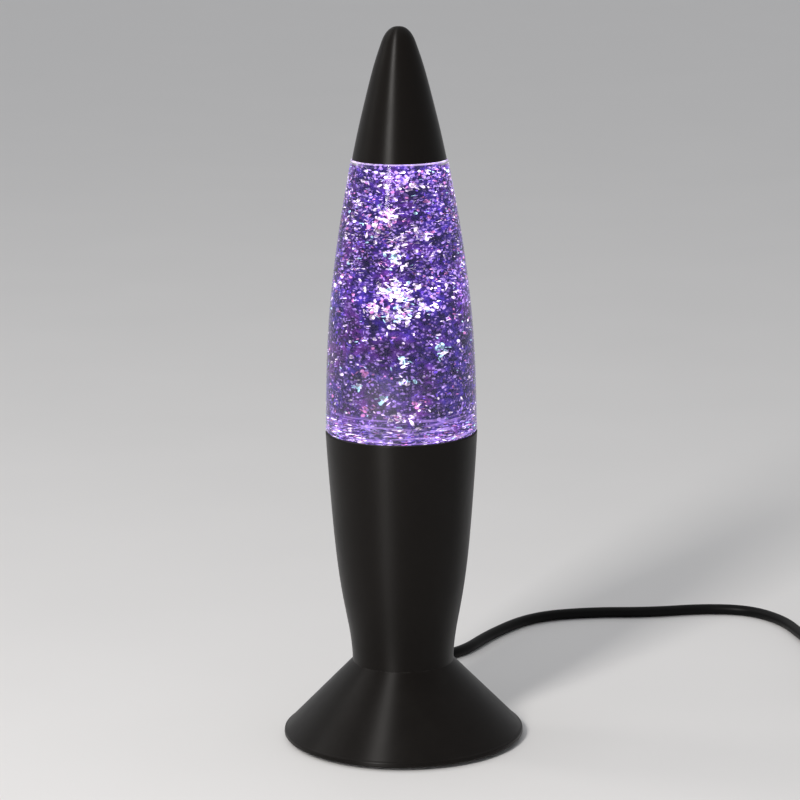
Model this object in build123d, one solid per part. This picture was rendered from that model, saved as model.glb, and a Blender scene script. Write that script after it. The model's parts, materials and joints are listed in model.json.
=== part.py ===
from build123d import *
import math
import os

# A rocket-shaped glitter lamp: a flared foot, a tall cup that holds the bulb, a glass bottle of
# liquid and glitter standing on the cup's rim, and a bullet cap over the bottle's neck.
# Millimetres, +Z up, origin on the table under the lamp's axis. The cord leaves towards +Y.

# ---- driving dimensions ----
TOTAL_H = 360.0          # table to the tip of the cap
FOOT_R = 60.0            # centre of the foot's rolled lip
LIP_Z, LIP_R = 2.7, 0.95
WAIST_R, WAIST_Z = 25.6, 40.0
CUP_RIM_Z = 158.7
CAP_Z = 295.2            # where the cap stands on the bottle's ledge
WALL = 1.2               # spun sheet of the foot and the cup
CAP_WALL = 0.9
GLASS_WALL = 2.4
PLATE_Z, PLATE_T, PLATE_R = 2.6, 1.0, 58.4
BOSS_R = 4.9             # threaded tube that ties the foot, the cup and the lampholder together
BOSS_HOLE_R = 5.1
SPIN_FIT = 0.08          # radial clearance of the bulb's screw shell in the lampholder

CORD_D = 6.0
EXIT_Y, EXIT_Z = 84.0, 11.0
SWITCH_X, SWITCH_Y, SWITCH_Z = 240.0, 66.0, 8.0
SWITCH_L, SWITCH_W, SWITCH_H = 60.0, 25.0, 16.0
COIL_X, COIL_Y, COIL_R = 282.8, -14.0, 36.0
TURN_GAP = 6.2           # from one turn of the coil to the next
COIL_Z = 3.6             # centre of the lowest turns, on the tie's strap
PLUG_X, PLUG_Y, PLUG_Z = 322.0, 54.0, 7.0

# ---- outlines, as (radius, height) from the bottom up ----
CUP_OUTLINE = [(25.6, 40.0), (26.8, 54.0), (29.5, 69.0), (32.3, 87.0), (34.3, 106.0),
               (35.9, 126.0), (37.1, 143.0), (38.0, CUP_RIM_Z)]
GLASS_OUTLINE = [(37.9, 160.0), (37.6, 176.0), (36.75, 200.0), (35.1, 222.0), (32.4, 245.0),
                 (28.9, 268.0), (24.0, 294.4)]
CAP_OUTLINE = [(23.3, CAP_Z), (21.5, 303.8), (19.3, 313.5), (16.6, 324.5), (13.9, 335.0),
               (11.3, 344.0), (8.9, 351.0), (6.3, 356.6), (3.2, 359.4), (0.0, TOTAL_H)]
BULB_OUTLINE = [(6.1, 80.0), (6.2, 84.2), (8.2, 88.5), (12.2, 97.0), (16.8, 107.0), (19.5, 117.5),
                (18.6, 122.5), (14.0, 127.2), (7.0, 129.5), (0.0, 130.0)]

os.makedirs("parts", exist_ok=True)
nodes = {}


# ---- helpers ----
def keep(name, *solids):
    """Files one or more solids under a node's name."""
    found = [s for shape in solids for s in shape.solids()]
    nodes[name] = found[0] if len(found) == 1 else Compound(children=found)
    return nodes[name]


def turned(*edges):
    """A solid of revolution about the lamp's axis, from the closed outline of its half section."""
    return revolve(make_face([Plane.XZ * edge for edge in edges]), Axis.Z)


def dome(points, wall):
    """A turned shell of even wall, open below and closed over the axis by a round top."""
    inner = inset(points, wall)
    ends = [Vector(points[1][0] - points[0][0], points[1][1] - points[0][1]), Vector(-1, 0)]
    return turned(Spline(*points, tangents=ends), Line(points[-1], inner[-1]),
                  Spline(*inner, tangents=ends), Line(inner[0], points[0]))


def block(points):
    """A turned solid with straight edges through (radius, height) points."""
    return turned(Polyline(*points, points[0]))


def ring(inner, outer, low, high):
    """A plain turned ring, or a disc when the inner radius is 0."""
    return block([(inner, low), (outer, low), (outer, high), (inner, high)])


def inset(points, wall):
    """An outline moved inwards by the wall; its ends stay on their own plane or on the axis."""
    moved = []
    for i, (r, z) in enumerate(points):
        (r0, z0), (r1, z1) = points[max(i - 1, 0)], points[min(i + 1, len(points) - 1)]
        run = math.hypot(r1 - r0, z1 - z0)
        along, up = (r1 - r0) / run, (z1 - z0) / run
        if r == 0:
            moved.append((0.0, z - wall))
        elif i in (0, len(points) - 1):
            moved.append((r - wall / up, z))
        else:
            moved.append((r - wall * up, z + wall * along))
    return moved


def rod(radius, low, high, x=0.0, y=0.0):
    """An upright cylinder."""
    return Pos(x, y, (low + high) / 2) * Cylinder(radius, high - low)


def around(count, radius, start=0.0):
    """Points evenly spaced on a circle."""
    turns = [math.radians(start + 360 * i / count) for i in range(count)]
    return [(radius * math.cos(a), radius * math.sin(a)) for a in turns]


def lying(shape, x, y, z):
    """A shape turned about +Z laid down so that its axis runs along +Y from a point."""
    return Pos(x, y, z) * Rot(-90, 0, 0) * shape


def bend_radii(points):
    """The largest arcs that fit the corners of a route."""
    radii = []
    for a, b, c in zip(points, points[1:], points[2:]):
        before, after = Vector(*b) - Vector(*a), Vector(*c) - Vector(*b)
        half_turn = math.radians(before.get_angle(after)) / 2
        radii.append(0.45 * min(before.length, after.length) / math.tan(half_turn))
    return radii


def tube(points, radius, name):
    """A round cord along straight runs joined by tangent arcs."""
    radii = bend_radii(points)
    path = FilletPolyline(*points, radius=radii)
    start = Vector(*points[1]) - Vector(*points[0])
    section = Plane(origin=points[0], z_dir=start) * Circle(radius)
    solid = sweep(section, path=path)
    expected = math.pi * radius ** 2 * path.length
    print(name, "radii", [round(r, 1) for r in radii], "length", round(path.length, 1),
          "volume ratio", round(solid.volume / expected, 4))
    return solid


# ---- foot ----
def foot_profile(offset):
    """The foot's flared outline from lip to waist, moved in by an offset."""
    side = offset * math.sqrt(2)
    return [(FOOT_R + 0.85 - offset, LIP_Z), (FOOT_R + 0.75 - offset, 3.7),
            (59.6 - side, 4.9), (WAIST_R - side + offset, WAIST_Z - offset)]


def foot_solid(offset):
    """The space under the foot's flare, filled."""
    low, knee, start, top = foot_profile(offset)
    cone = Vector(top[0] - start[0], top[1] - start[1]).normalized()
    flare = Spline(knee, start, tangents=[Vector(0, 1), cone])
    return turned(Line((0, LIP_Z), low), Line(low, knee), flare, Line(start, top),
                  Line(top, (0, top[1])), Line((0, top[1]), (0, LIP_Z)))


foot_outside, foot_inside = foot_solid(0), foot_solid(WALL)
lip = turned(CenterArc((FOOT_R - 0.1, LIP_Z), LIP_R, 0, 360))
foot = foot_outside - foot_inside + lip
foot -= rod(BOSS_HOLE_R, 38.0, 41.0)
vents = [rod(2.5, 38.0, 42.0, x, y) for x, y in around(8, 16.0)]
foot -= vents
foot -= lying(Cylinder(4.7, 30), 0, 55, EXIT_Z)
keep("foot", foot)

pillar_places = around(3, 44.0, 30.0)
pillars = [rod(4.0, PLATE_Z + PLATE_T, 30.0, x, y) & foot_inside for x, y in pillar_places]
pillars = [p - rod(1.45, 0, 13.0, x, y) for p, (x, y) in zip(pillars, pillar_places)]
keep("plate_pillars", *pillars)

feet_places = around(4, 49.0, 45.0)
plate = ring(0, PLATE_R, PLATE_Z, PLATE_Z + PLATE_T)
plate -= [rod(1.7, 0, 5, x, y) for x, y in pillar_places]
plate -= [rod(2.05, 0, 5, x, y) for x, y in feet_places]
for angle in range(0, 360, 30):
    plate -= Rot(0, 0, angle) * Pos(22, 0, PLATE_Z) * extrude(SlotOverall(14, 3), 4, both=True)
keep("base_plate", plate)


def rubber_foot():
    """A bumper pressed into the base plate from below, with a retaining head on top."""
    top = PLATE_Z + PLATE_T
    return block([(0, 0), (4.8, 0), (5.5, 0.8), (5.5, PLATE_Z), (2.0, PLATE_Z), (2.0, top),
                  (2.9, top), (2.1, top + 1.8), (0, top + 1.8)])


keep("rubber_feet", *[Pos(x, y, 0) * rubber_foot() for x, y in feet_places])


def plate_screw():
    """A pan-head screw up through the plate, with a cross slot in its head."""
    screw = block([(0, 1.1), (2.2, 1.1), (2.9, 1.6), (2.9, PLATE_Z), (1.4, PLATE_Z), (1.4, 11.0),
                   (0, 12.2)])
    slot = Pos(0, 0, 1.1) * (Box(3.6, 0.6, 1.4) + Box(0.6, 3.6, 1.4))
    return screw - slot


keep("plate_screws", *[Pos(x, y, 0) * plate_screw() for x, y in pillar_places])

# ---- cup ----
CUP_FLOOR_Z = WAIST_Z + WALL
cup_wall = inset(CUP_OUTLINE, WALL)
cup_wall[0] = (cup_wall[0][0] + 0.1, CUP_FLOOR_Z)
cup = turned(Spline(*CUP_OUTLINE), Line(CUP_OUTLINE[-1], cup_wall[-1]), Spline(*cup_wall),
             Line(cup_wall[0], (0, CUP_FLOOR_Z)), Line((0, CUP_FLOOR_Z), (0, WAIST_Z)),
             Line((0, WAIST_Z), CUP_OUTLINE[0]))
cup -= rod(BOSS_HOLE_R, 38, 42)
cup -= vents
cup = fillet(cup.edges().group_by(Axis.Z)[-1], 0.4)
keep("cup", cup)
GASKET_T = 0.4
keep("bottle_gasket", ring(36.95, 37.6, CUP_RIM_Z, CUP_RIM_Z + GASKET_T))

# ---- threaded tube, washer and nut at the waist ----
keep("threaded_tube", ring(3.6, BOSS_R, 31.0, 48.5))
keep("washer", ring(BOSS_HOLE_R, 10.0, 37.8, WAIST_Z - WALL))
nut = Pos(0, 0, 34.3) * extrude(RegularPolygon(8.1, 6), 3.5) - rod(BOSS_R, 30, 40)
keep("lock_nut", nut)

# ---- lampholder ----
HOLDER_Z, HOLDER_SPLIT, HOLDER_TOP = CUP_FLOOR_Z, 58.0, 84.0
holder_base = block([(BOSS_R, HOLDER_Z), (12.9, HOLDER_Z), (13.5, HOLDER_Z + 0.6),
                     (13.5, HOLDER_SPLIT), (11.9, HOLDER_SPLIT), (11.9, 44.0), (7.5, 44.0),
                     (7.5, 48.5), (BOSS_R, 48.5)])
keep("holder_base", holder_base)
holder_body = block([(0, HOLDER_SPLIT), (13.8, HOLDER_SPLIT), (13.8, 82.8), (12.6, HOLDER_TOP),
                     (7.5, HOLDER_TOP), (7.5, 61.0), (0, 61.0)])
holder_body -= [rod(0.9, 62.0, 90.0, x, y) for x, y in around(20, 13.9)]
holder_body -= Pos(-5.25, 0, 60) * Box(0.6, 4.2, 8)
holder_body -= Pos(7.22, 0, 60) * Box(0.56, 4.2, 8)
keep("holder_body", holder_body)
SHELL_R = 6.9            # the bulb's screw shell
shell = ring(SHELL_R + SPIN_FIT, 7.5, 61.0, 83.0) + Pos(7.22, 0, 58.05) * Box(0.5, 4.0, 6.1)
keep("holder_shell", shell)
contact = Pos(-1.6, 0, 62.6) * Box(7.8, 4.0, 0.5) + Pos(-5.25, 0, 58.9) * Box(0.5, 4.0, 7.8)
keep("holder_contact", contact)
terminals = []
for side in (-1, 1):
    terminal = Pos(side * 7.5, 0, 52.5) * Box(6, 6, 5)
    terminal -= Pos(side * 6.0, 0, 52.5) * Rot(0, 90, 0) * Cylinder(1.0, 5)
    terminals.append(terminal - rod(1.32, 49.0, 51.4, side * 8.4))
keep("holder_terminals", *terminals)
keep("terminal_screws", *[
    Pos(side * 8.4, 0, 0) * (ring(0, 2.2, 48.6, 50.0) + ring(0, 1.3, 50.0, 51.4)
                             - Pos(0, 0, 48.6) * Box(5, 0.6, 1.2))
    for side in (-1, 1)])


# ---- reflector bulb ----
def bulb_shell():
    """The rolled screw shell, as rounded rings at the thread's pitch, closing in at its bottom."""
    pitch, low, high, inner = 2.8, 66.0, 83.8, 6.3
    body = block([(5.9, low), (6.5, low), (6.5, high), (inner, high), (inner, low + 0.6),
                  (5.9, low + 0.6)])
    for i in range(6):
        roll = turned(CenterArc((SHELL_R - 1.0, low + 1.4 + pitch * i), 1.0, 0, 360))
        body += roll - ring(0, inner + 0.05, low, high)
    return body


keep("bulb_glass", dome(BULB_OUTLINE, 0.7))
keep("bulb_screw_shell", bulb_shell())
keep("bulb_insulator", block([(0, 63.9), (2.6, 63.9), (5.0, 65.6), (5.0, 66.3), (5.9, 66.5),
                              (5.9, 68.0), (0, 68.0)]))
keep("bulb_contact", block([(0, 62.95), (1.8, 62.95), (2.3, 63.4), (2.3, 63.9), (0, 63.9)]))
stem = block([(0, 80.1), (4.6, 80.1), (2.2, 84.0), (1.7, 97.0), (0, 98.0)])
keep("bulb_stem", stem)
FILAMENT_Z = 107.0
filament = []
for side in (-1, 1):
    filament.append(rod(0.3, 94.0, FILAMENT_Z, side * 2.6) - stem)
    filament.append(Pos(side * 1.7, 0, 94.0) * Box(2.2, 0.6, 0.6) - stem - filament[-1])
coil_arc = Plane.XZ * ThreePointArc((-2.6, FILAMENT_Z), (0, FILAMENT_Z + 2), (2.6, FILAMENT_Z))
coil_wire = sweep(Plane(origin=coil_arc @ 0, z_dir=coil_arc % 0) * Circle(0.45), path=coil_arc)
keep("bulb_leads", *filament)
keep("bulb_filament", coil_wire)

# ---- bottle, liquid and glitter ----
LEDGE_Z, MOUTH_Z, LIQUID_TOP = CUP_RIM_Z + GASKET_T, 313.2, 303.0
glass_in = inset(GLASS_OUTLINE, GLASS_WALL)
NECK_R, BORE_R, BEAD_R = 12.2, 9.6, 13.2
FLOOR_OUT, FLOOR_IN, SHOULDER_IN = (0, 150.2), (0, 155.6), (21.4, CAP_Z - 4.5)
bottle_skin = [
    ThreePointArc(FLOOR_OUT, (14, 149.4), (27, 147.0)), Line((27, 147.0), (33.0, 147.0)),
    RadiusArc((33.0, 147.0), (34.6, 148.6), -1.6), Line((34.6, 148.6), (34.6, LEDGE_Z)),
    Line((34.6, LEDGE_Z), (37.2, LEDGE_Z)), Line((37.2, LEDGE_Z), GLASS_OUTLINE[0]),
    Spline(*GLASS_OUTLINE), RadiusArc(GLASS_OUTLINE[-1], (23.4, CAP_Z), -0.92),
    Line((23.4, CAP_Z), (21.6, CAP_Z)),
    Spline((21.6, CAP_Z), (18.4, 301.5), (NECK_R, 308.6), tangents=[Vector(0, 1), Vector(0, 1)]),
    Line((NECK_R, 308.6), (BEAD_R, 309.4)), Line((BEAD_R, 309.4), (BEAD_R, 312.2)),
    Line((BEAD_R, 312.2), (12.2, MOUTH_Z))]
bottle_hollow = [
    ThreePointArc(FLOOR_IN, (15, 154.6), (29, 152.4)),
    Spline((29, 152.4), (33.6, 155.0), glass_in[0], tangents=[Vector(1, 0), Vector(0, 1)]),
    Spline(*glass_in[:-1], SHOULDER_IN),
    Spline(SHOULDER_IN, (17.2, 299.0), (BORE_R, 306.8), tangents=[Vector(-0.25, 1), Vector(0, 1)])]
bottle = turned(*bottle_skin, Line((12.2, MOUTH_Z), (BORE_R, MOUTH_Z)),
                Line((BORE_R, MOUTH_Z), (BORE_R, 306.8)), *bottle_hollow, Line(FLOOR_IN, FLOOR_OUT))
keep("bottle", bottle)
filled = turned(*bottle_hollow, Line((BORE_R, 306.8), (0, 306.8)), Line((0, 306.8), FLOOR_IN))
keep("liquid", filled & Pos(0, 0, LIQUID_TOP - 100) * Box(100, 100, 200))


def flakes(count):
    """Small thin hexagonal flakes spread evenly through the liquid."""
    golden = math.radians(137.508)
    flake = extrude(RegularPolygon(1.0, 6), 0.2)
    spread = []
    for i in range(count):
        height = 163.0 + (280.0 - 163.0) * (i + 0.5) / count
        reach = 18.0 * math.sqrt((i * 0.618034) % 1.0)
        x, y = reach * math.cos(i * golden), reach * math.sin(i * golden)
        spread.append(Pos(x, y, height) * Rot(25 * math.sin(i), 25 * math.cos(i), 0) * flake)
    return spread


keep("glitter", *flakes(48))

# ---- crown closure ----
crown = block([(0, MOUTH_Z + 1.3), (12.9, MOUTH_Z + 1.3), (13.6, 312.6), (15.6, 309.3),
               (15.95, 309.3), (14.0, 313.4), (13.2, 314.9), (0, 314.9)])
crown -= [Pos(x, y, 310.2) * Rot(0, 0, math.degrees(math.atan2(y, x))) * Rot(0, -31, 0)
          * Cylinder(0.8, 5) for x, y in around(21, 16.2)]
keep("crown_closure", crown)
keep("crown_liner", ring(0, 12.3, MOUTH_Z, MOUTH_Z + 1.3))

# ---- cap ----
keep("cap", dome(CAP_OUTLINE, CAP_WALL))


# ---- cord entry ----
def strain_relief():
    """A rubber sleeve through the foot's wall: a saddle collar outside and a tapered, ribbed tail."""
    length = EXIT_Y - 43.0
    sleeve = block([(3.0, 0), (5.8, 0), (5.8, 2.0), (4.6, 2.0), (4.6, 18.0), (3.7, length),
                    (3.0, length)])
    for i in range(6):
        groove = 20.0 + 3.2 * i
        sleeve -= ring(3.75, 6.0, groove, groove + 1.2)
    collar = Pos(0, 53.8, EXIT_Z) * Rot(-45, 0, 0) * Cylinder(7.0, 3.6) - foot_outside
    bore = lying(Cylinder(3.0, 60), 0, 60, EXIT_Z)
    return lying(sleeve, 0, 43.0, EXIT_Z) + (collar - bore)


keep("strain_relief", strain_relief())
LEAD_END_Y = 24.0
keep("cord_lead_in", lying(ring(0, 2.96, 0, EXIT_Y - LEAD_END_Y), 0, LEAD_END_Y, EXIT_Z))
CLAMP_Y, CLAMP_TOP = 33.0, 16.0
clamp_base = Pos(0, CLAMP_Y, 5.8) * Box(22, 8, 4.4)
clamp_bridge = Pos(0, CLAMP_Y, 12.0) * Box(22, 8, 8.0) - lying(Cylinder(3.0, 20), 0, CLAMP_Y, EXIT_Z)
clamp_bridge -= Pos(0, CLAMP_Y, 9.5) * Box(6.0, 9, 3.02)
clamp_bolt_places = [(-7.5, CLAMP_Y), (7.5, CLAMP_Y)]
bolt_holes = [rod(1.55, 3.6, 18, x, y) for x, y in clamp_bolt_places]
keep("clamp_base", clamp_base - bolt_holes)
keep("clamp_bridge", fillet((clamp_bridge - bolt_holes).edges().group_by(Axis.Z)[-1].filter_by(
    Axis.Y), 1.5))
keep("clamp_screws", *[
    rod(1.5, 3.7, CLAMP_TOP, x, y) + rod(2.7, CLAMP_TOP, CLAMP_TOP + 1.7, x, y)
    - Pos(x, y, CLAMP_TOP + 1.7) * Box(6, 0.7, 1.4) for x, y in clamp_bolt_places])

for name, side in (("live_wire", -1), ("neutral_wire", 1)):
    keep(name, tube([(side * 1.3, LEAD_END_Y, EXIT_Z), (side * 1.4, 11, 11.6), (side * 1.5, 1.5, 20),
                     (side * 1.55, 0, 33), (side * 1.6, 0.1, 44.5), (side * 2.2, 0, 51.6),
                     (side * 4.6, 0, 52.5)], 0.9, name))

# ---- cord ----
CORD_ROUTE = [(0, EXIT_Y, EXIT_Z), (1.5, 105, 9.4), (12.8, 122, 3.3), (33, 134, 3), (48.5, 167, 3),
              (74, 203, 3), (108, 212.5, 3), (144, 211.5, 3), (176, 218, 3), (203, 213.5, 3),
              (219, 191.5, 3), (225, 165, 3), (230, 140, 3.2), (238, 118, 7.2),
              (SWITCH_X, SWITCH_Y + SWITCH_L / 2, SWITCH_Z)]
LINK_ROUTE = [(SWITCH_X, SWITCH_Y - SWITCH_L / 2, SWITCH_Z), (SWITCH_X + 0.2, 21, 6.6),
              (SWITCH_X + 0.3, 5, COIL_Z), (SWITCH_X + 0.6, -10, COIL_Z)]
layer = TURN_GAP * math.sqrt(3) / 2
COIL_TOP_Z = COIL_Z + 2 * layer
TAIL_ROUTE = [(COIL_X + COIL_R, -8, COIL_TOP_Z), (319.4, 8, 13.8), (321, 25, 10.4),
              (322, 40, 7.4), (PLUG_X, PLUG_Y, PLUG_Z)]
keep("cord_tube", tube(CORD_ROUTE, CORD_D / 2, "cord_tube"))
keep("cord_link", tube(LINK_ROUTE, CORD_D / 2, "cord_link"))
keep("cord_tail", tube(TAIL_ROUTE, CORD_D / 2, "cord_tail"))

# The rest of the cord is wound into a ring: three turns, two on them and one on top.
STRAP = 0.5
half = TURN_GAP + CORD_D / 2
section = [(COIL_R - half, COIL_Z - CORD_D / 2), (COIL_R + half, COIL_Z - CORD_D / 2),
           (COIL_R + half, COIL_Z + 2), (COIL_R + 4, COIL_TOP_Z + CORD_D / 2),
           (COIL_R - 4, COIL_TOP_Z + CORD_D / 2), (COIL_R - half, COIL_Z + 2)]
keep("cord_coil", Pos(COIL_X, COIL_Y, 0) * block(section))


def coil_tie():
    """A strap closed tightly around the bundle, at the side away from the plug."""
    grown = make_face(offset(Polyline(*section, section[0]), STRAP, kind=Kind.ARC))
    band = Plane.XZ * (grown - make_face(Polyline(*section, section[0])))
    return Pos(COIL_X, COIL_Y, 0) * Rot(0, 0, 235) * revolve(band, Axis.Z, 15)


keep("coil_tie", coil_tie())


# ---- in-line switch ----
def switch_half(low, high, rounded):
    """Half of the switch's housing, hollow, with a round way in for the cord at each end."""
    form = Pos(0, 0, low) * extrude(switch_plan(0), high - low)
    form = fillet(form.edges().group_by(Axis.Z)[rounded], 3.2)
    hollow_low = low + 1.8 if rounded == 0 else low
    hollow = Pos(0, 0, hollow_low) * extrude(switch_plan(4.0), high - low - 1.8)
    return form - hollow - lying(Cylinder(3.05, 2 * SWITCH_L), 0, 0, SWITCH_Z)


def switch_plan(inward):
    """The housing's plan: two long curved sides and two blunt ends."""
    x, y, end = SWITCH_W / 2 - inward * 0.5, SWITCH_L / 2 - inward, 5.6 - inward * 0.3
    return make_face([ThreePointArc((end, -y), (x, 0), (end, y)), Line((end, y), (-end, y)),
                      ThreePointArc((-end, y), (-x, 0), (-end, -y)), Line((-end, -y), (end, -y))])


PIVOT_Z, ROCKER_W, ROCKER_L = 13.3, 9.0, 19.0
here = Pos(SWITCH_X, SWITCH_Y, 0)
switch_base = switch_half(0, SWITCH_Z, 0)
switch_screw_places = [(-5.6, -17), (5.6, 17)]
posts = [rod(2.6, 1.0, SWITCH_Z, x, y) for x, y in switch_screw_places]
switch_base += posts
switch_base -= [rod(1.4, 0, 20, x, y) + rod(2.4, -1, 1.6, x, y) for x, y in switch_screw_places]
keep("switch_base", here * switch_base)
switch_cover = switch_half(SWITCH_Z, SWITCH_H, -1)
switch_cover -= Pos(0, 0, 15) * Box(ROCKER_W + 0.8, ROCKER_L + 2.4, 6)
cheeks = [Pos(side * (ROCKER_W / 2 + 1.4), 0, 12.4) * Box(2.0, 7, 4.2) for side in (-1, 1)]
switch_cover += cheeks
switch_cover += [rod(2.6, SWITCH_Z, 14.8, x, y) for x, y in switch_screw_places]
pivot = Pos(0, 0, PIVOT_Z) * Rot(0, 90, 0) * Cylinder(1.0, ROCKER_W + 4.4)
switch_cover -= pivot
switch_cover -= [rod(1.05, 0, 12.5, x, y) for x, y in switch_screw_places]
keep("switch_cover", here * switch_cover)
keep("switch_pin", here * pivot)
strips = [Pos(side * 7.2, 0, 4.4) * Box(0.6, 16, 5) + Pos(side * 5.9, 0, 6.8) * Box(2.4, 4, 0.5)
          for side in (-1, 1)]
keep("switch_contacts", *[here * strip for strip in strips])
keep("switch_screws", *[
    here * (rod(2.3, 0.4, 1.6, x, y) + rod(1.0, 1.6, 12.0, x, y) - Pos(x, y, 0.4) * Box(5, 0.6, 1.2))
    for x, y in switch_screw_places])


def switch_rocker():
    """A rocker seen from the side as a shallow V, pressed down at one end in the lit position."""
    reach = ROCKER_L / 2
    side_view = make_face(Plane.YZ * Polyline((-reach, 15.2), (reach, 17.2), (reach, 15.4),
                                              (2.0, 14.4), (1.7, 11.8), (-1.7, 11.8),
                                              (-2.0, 14.0), (-reach, 13.4), (-reach, 15.2)))
    rocker = extrude(side_view, ROCKER_W / 2, both=True)
    hollow = Pos(0, 0, PIVOT_Z) * Rot(0, 90, 0) * Cylinder(1.05, 20)
    return rocker - hollow


keep("switch_rocker", here * switch_rocker())

# ---- two-pin plug ----
PLUG_TAIL, PLUG_BODY = 22.0, 32.0
plug_tail = block([(0, 0), (3.6, 0), (5.4, PLUG_TAIL), (0, PLUG_TAIL)])
for i in range(4):
    plug_tail -= ring(3.4 + 0.35 * i, 8.0, 2.5 + 4.4 * i, 4.3 + 4.4 * i)
plug_side = make_face(Polyline((-6.6, 0), (6.6, 0), (13.0, 11), (13.0, PLUG_BODY), (-13.0, PLUG_BODY),
                               (-13.0, 11), (-6.6, 0)))
plug_form = extrude(plug_side, 6.7, both=True)
plug_form = fillet(plug_form.edges().filter_by(Axis.Z), 2.0)
plug_form = fillet(plug_form.edges().group_by(Axis.Z)[-1] + plug_form.edges().group_by(Axis.Z)[0], 2.0)
PIN_X, PIN_R, PIN_L = 9.2, 2.0, 19.0
SLEEVE_R, CORE_R, SLEEVE_L = 1.98, 1.7, 10.0
plug_end = PLUG_Y + PLUG_TAIL + PLUG_BODY
at_plug = Pos(PLUG_X, PLUG_Y + PLUG_TAIL, PLUG_Z)
keep("plug_body", at_plug * plug_form + lying(plug_tail, PLUG_X, PLUG_Y, PLUG_Z))
pins, sleeves = [], []
for side in (-1, 1):
    x = PLUG_X + side * PIN_X
    pins.append(lying(block([(0, 0), (CORE_R, 0), (CORE_R, SLEEVE_L), (PIN_R, SLEEVE_L),
                             (PIN_R, PIN_L - 1.2), (PIN_R - 1.0, PIN_L), (0, PIN_L)]),
                      x, plug_end, PLUG_Z))
    sleeves.append(lying(ring(CORE_R, SLEEVE_R, 0, SLEEVE_L), x, plug_end, PLUG_Z))
keep("plug_pins", *pins)
keep("plug_pin_sleeves", *sleeves)

for name, shape in nodes.items():
    export_step(shape, f"parts/{name}.step")
box = Compound(children=[s for shape in nodes.values() for s in shape.solids()]).bounding_box()
print(len(nodes), "nodes, box", box.min, box.max)
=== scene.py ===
import json
import math
import random

import bpy
from mathutils import Matrix, Quaternion, Vector


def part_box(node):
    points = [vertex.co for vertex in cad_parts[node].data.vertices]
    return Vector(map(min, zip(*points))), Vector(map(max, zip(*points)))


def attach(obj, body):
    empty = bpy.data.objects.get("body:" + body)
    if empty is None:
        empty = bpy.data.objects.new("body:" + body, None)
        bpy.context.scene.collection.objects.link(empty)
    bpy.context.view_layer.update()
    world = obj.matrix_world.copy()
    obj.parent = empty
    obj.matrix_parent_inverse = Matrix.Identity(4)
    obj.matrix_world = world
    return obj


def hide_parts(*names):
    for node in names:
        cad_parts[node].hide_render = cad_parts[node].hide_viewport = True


# A rocket-shaped glitter lamp: black lacquered foot, cup and cap, and a glass bottle of violet
# liquid full of foil flakes. Metres, +Z up, the lamp's axis at x 0, y 0, the cord at +Y.

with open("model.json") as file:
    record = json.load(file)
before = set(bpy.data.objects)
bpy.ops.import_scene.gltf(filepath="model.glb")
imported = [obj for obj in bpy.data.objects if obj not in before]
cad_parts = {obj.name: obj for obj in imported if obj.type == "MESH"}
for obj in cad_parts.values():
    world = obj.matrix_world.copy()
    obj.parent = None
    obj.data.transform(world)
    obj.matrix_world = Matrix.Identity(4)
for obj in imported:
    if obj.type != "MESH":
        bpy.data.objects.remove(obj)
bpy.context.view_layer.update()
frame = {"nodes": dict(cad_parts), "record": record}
parts = frame["nodes"]
MM = 0.001


# ---------------------------------------------------------------- camera
CAMERA_PLACE = (-0.0006, -1.44, 0.4738)
CAMERA_DIP = 11.755         # degrees below level
CAMERA_TURN = -0.44         # degrees about its own line of sight
LENS, SENSOR = 132.5, 36.0  # focal length and sensor width, mm
FARTHEST_SEEN = 60.0


def make_camera():
    """A long lens a little above the lamp's middle."""
    eye = bpy.data.objects.new("camera", bpy.data.cameras.new("camera"))
    eye.data.lens, eye.data.sensor_width = LENS, SENSOR
    eye.data.clip_end = FARTHEST_SEEN
    eye.location = CAMERA_PLACE
    eye.rotation_mode = "QUATERNION"
    level = Quaternion((1, 0, 0), math.radians(90 - CAMERA_DIP))
    eye.rotation_quaternion = level @ Quaternion((0, 0, 1), math.radians(CAMERA_TURN))
    bpy.context.collection.objects.link(eye)
    bpy.context.scene.camera = eye


make_camera()


# ---------------------------------------------------------------- mains cord
# Sizes and routes in mm, as they lie on the table.
CORD_D, CORD_LENGTH = 6.0, 1800.0
# From the strain relief to the switch, from the switch to the coil, and from the coil to the plug.
CORD_ROUTE = [(0, 84, 11), (1.5, 105, 9.4), (12.8, 122, 3.3), (33, 134, 3), (48.5, 167, 3),
              (74, 203, 3), (108, 212.5, 3), (144, 211.5, 3), (176, 218, 3), (203, 213.5, 3),
              (219, 191.5, 3), (225, 165, 3), (230, 140, 3.2), (238, 118, 7.2), (240, 96, 8)]
LINK_ROUTE = [(240, 36, 8), (240.2, 21, 6.6), (240.3, 5, 3.6)]
TAIL_ROUTE = [(319.4, 4, 15.4), (320.4, 20, 12.6), (321.6, 38, 8), (322, 54, 7)]
COIL_X, COIL_Y = 282.8, -14.0
COIL_START, COIL_END, COIL_STEP = 190, 2150, 15    # degrees of winding, and between two points
# Where the winding shifts from one turn to the next: from angle, to angle, then radius and height.
COIL_SHIFTS = [(180, 181, 42.2, 3.6), (485, 525, 36.0, 3.6), (845, 885, 29.8, 3.6),
               (1165, 1205, 29.8, 9.2), (1205, 1245, 32.9, 8.97), (1525, 1565, 39.1, 8.97),
               (1845, 1885, 39.1, 14.9), (1885, 1925, 36.0, 14.34)]
# Where a turn climbs over the one below it: angle and extra height.
COIL_HUMPS = [(1225, 0.6), (1545, 0.8), (1585, 0.5), (1885, 0.5), (1905, 1.4), (1945, 0.9)]
HUMP_WIDTH = 18.0


def ease(share):
    """A smooth step from 0 to 1."""
    share = min(1.0, max(0.0, share))
    return share * share * (3 - 2 * share)


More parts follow.
